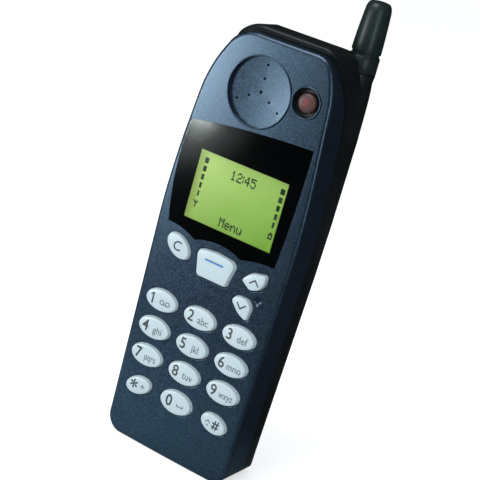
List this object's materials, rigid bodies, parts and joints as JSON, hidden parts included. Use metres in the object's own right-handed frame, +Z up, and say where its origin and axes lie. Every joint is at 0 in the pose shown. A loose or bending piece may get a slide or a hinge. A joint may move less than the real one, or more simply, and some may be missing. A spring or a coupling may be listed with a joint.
{
  "type": "mobile phone",
  "caption": "Slim upright mobile phone with stub antenna, oval keys, small display window, snap-off front cover and lift-off battery pack with sliding latch.",
  "frame": {"origin": "middle of the flat lower end the phone stands on", "axes": "+X is the right-hand side seen from the front, the keys face -Y, +Z is up towards the antenna"},
  "size_m": [0.0474, 0.031, 0.149],
  "materials": {
    "cover_paint": "satin",
    "case_plastic": "matte",
    "key_plastic": "satin",
    "lens_clear": "gloss",
    "mask_print": "gloss",
    "display": "gloss",
    "frame_metal": "satin",
    "steel": "satin",
    "board": "satin",
    "shield_metal": "satin",
    "mat_rubber": "matte",
    "film": "satin",
    "guide": "gloss",
    "speaker": "matte",
    "foam": "matte",
    "chassis": "matte",
    "card": "satin",
    "connector": "satin",
    "brass": "satin",
    "antenna_rubber": "satin",
    "screw_steel": "satin",
    "pack_plastic": "matte",
    "cell_wrap": "satin",
    "gold": "gloss",
    "latch_plastic": "matte",
    "power_plastic": "satin"
  },
  "bodies": {
    "handset": {"rear_case": "case_plastic", "chassis_frame": "chassis", "main_board": "board", "rf_shield": "shield_metal", "key_mat": "mat_rubber", "dome_sheet": "film", "display_glass": "display", "display_frame": "frame_metal", "light_guide": "guide", "earpiece_speaker": "speaker", "earpiece_gasket": "foam", "microphone": "steel", "microphone_boot": "mat_rubber", "buzzer": "speaker", "sim_holder": "connector", "sim_card": "card", "system_connector": "connector", "charger_socket": "brass", "battery_contacts": "connector", "power_switch": "steel", "antenna_stub": "antenna_rubber", "antenna_bush": "brass", "antenna_contact": "gold", "case_screws": "screw_steel"},
    "cover": {"front_cover": "cover_paint", "display_lens": "lens_clear", "display_mask": "mask_print"},
    "battery": {"battery_case": "pack_plastic", "battery_lid": "pack_plastic", "battery_cells": "cell_wrap", "battery_terminals": "gold"},
    "latch": {"battery_latch": "latch_plastic"},
    "key_1": {"key_1": "key_plastic"},
    "key_2": {"key_2": "key_plastic"},
    "key_3": {"key_3": "key_plastic"},
    "key_4": {"key_4": "key_plastic"},
    "key_5": {"key_5": "key_plastic"},
    "key_6": {"key_6": "key_plastic"},
    "key_7": {"key_7": "key_plastic"},
    "key_8": {"key_8": "key_plastic"},
    "key_9": {"key_9": "key_plastic"},
    "key_star": {"key_star": "key_plastic"},
    "key_0": {"key_0": "key_plastic"},
    "key_hash": {"key_hash": "key_plastic"},
    "key_clear": {"key_clear": "key_plastic"},
    "key_menu": {"key_menu": "key_plastic"},
    "key_up": {"key_up": "key_plastic"},
    "key_down": {"key_down": "key_plastic"},
    "power_button": {"power_button": "power_plastic"}
  },
  "joints": [
    {"name": "cover_pull", "type": "slide", "parent": "handset", "child": "cover", "axis": [0, -1, 0], "range_m": [0, 0.035]},
    {"name": "battery_pull", "type": "slide", "parent": "handset", "child": "battery", "axis": [0, 1, 0], "range_m": [0, 0.03]},
    {"name": "latch_slide", "type": "slide", "parent": "battery", "child": "latch", "axis": [0, 0, -1], "range_m": [0, 0.0015], "stiffness_N_per_m": 400},
    {"name": "key_1_press", "type": "slide", "parent": "handset", "child": "key_1", "axis": [0, 1, 0], "range_m": [0, 0.0008], "stiffness_N_per_m": 600},
    {"name": "key_2_press", "type": "slide", "parent": "handset", "child": "key_2", "axis": [0, 1, 0], "range_m": [0, 0.0008], "stiffness_N_per_m": 600},
    {"name": "key_3_press", "type": "slide", "parent": "handset", "child": "key_3", "axis": [0, 1, 0], "range_m": [0, 0.0008], "stiffness_N_per_m": 600},
    {"name": "key_4_press", "type": "slide", "parent": "handset", "child": "key_4", "axis": [0, 1, 0], "range_m": [0, 0.0008], "stiffness_N_per_m": 600},
    {"name": "key_5_press", "type": "slide", "parent": "handset", "child": "key_5", "axis": [0, 1, 0], "range_m": [0, 0.0008], "stiffness_N_per_m": 600},
    {"name": "key_6_press", "type": "slide", "parent": "handset", "child": "key_6", "axis": [0, 1, 0], "range_m": [0, 0.0008], "stiffness_N_per_m": 600},
    {"name": "key_7_press", "type": "slide", "parent": "handset", "child": "key_7", "axis": [0, 1, 0], "range_m": [0, 0.0008], "stiffness_N_per_m": 600},
    {"name": "key_8_press", "type": "slide", "parent": "handset", "child": "key_8", "axis": [0, 1, 0], "range_m": [0, 0.0008], "stiffness_N_per_m": 600},
    {"name": "key_9_press", "type": "slide", "parent": "handset", "child": "key_9", "axis": [0, 1, 0], "range_m": [0, 0.0008], "stiffness_N_per_m": 600},
    {"name": "key_star_press", "type": "slide", "parent": "handset", "child": "key_star", "axis": [0, 1, 0], "range_m": [0, 0.0008], "stiffness_N_per_m": 600},
    {"name": "key_0_press", "type": "slide", "parent": "handset", "child": "key_0", "axis": [0, 1, 0], "range_m": [0, 0.0008], "stiffness_N_per_m": 600},
    {"name": "key_hash_press", "type": "slide", "parent": "handset", "child": "key_hash", "axis": [0, 1, 0], "range_m": [0, 0.0008], "stiffness_N_per_m": 600},
    {"name": "key_clear_press", "type": "slide", "parent": "handset", "child": "key_clear", "axis": [0, 1, 0], "range_m": [0, 0.0008], "stiffness_N_per_m": 600},
    {"name": "key_menu_press", "type": "slide", "parent": "handset", "child": "key_menu", "axis": [0, 1, 0], "range_m": [0, 0.0008], "stiffness_N_per_m": 600},
    {"name": "key_up_press", "type": "slide", "parent": "handset", "child": "key_up", "axis": [0, 1, 0], "range_m": [0, 0.0008], "stiffness_N_per_m": 600},
    {"name": "key_down_press", "type": "slide", "parent": "handset", "child": "key_down", "axis": [0, 1, 0], "range_m": [0, 0.0008], "stiffness_N_per_m": 600},
    {"name": "power_press", "type": "slide", "parent": "handset", "child": "power_button", "axis": [0, 1, 0], "range_m": [0, 0.0006], "stiffness_N_per_m": 600}
  ]
}
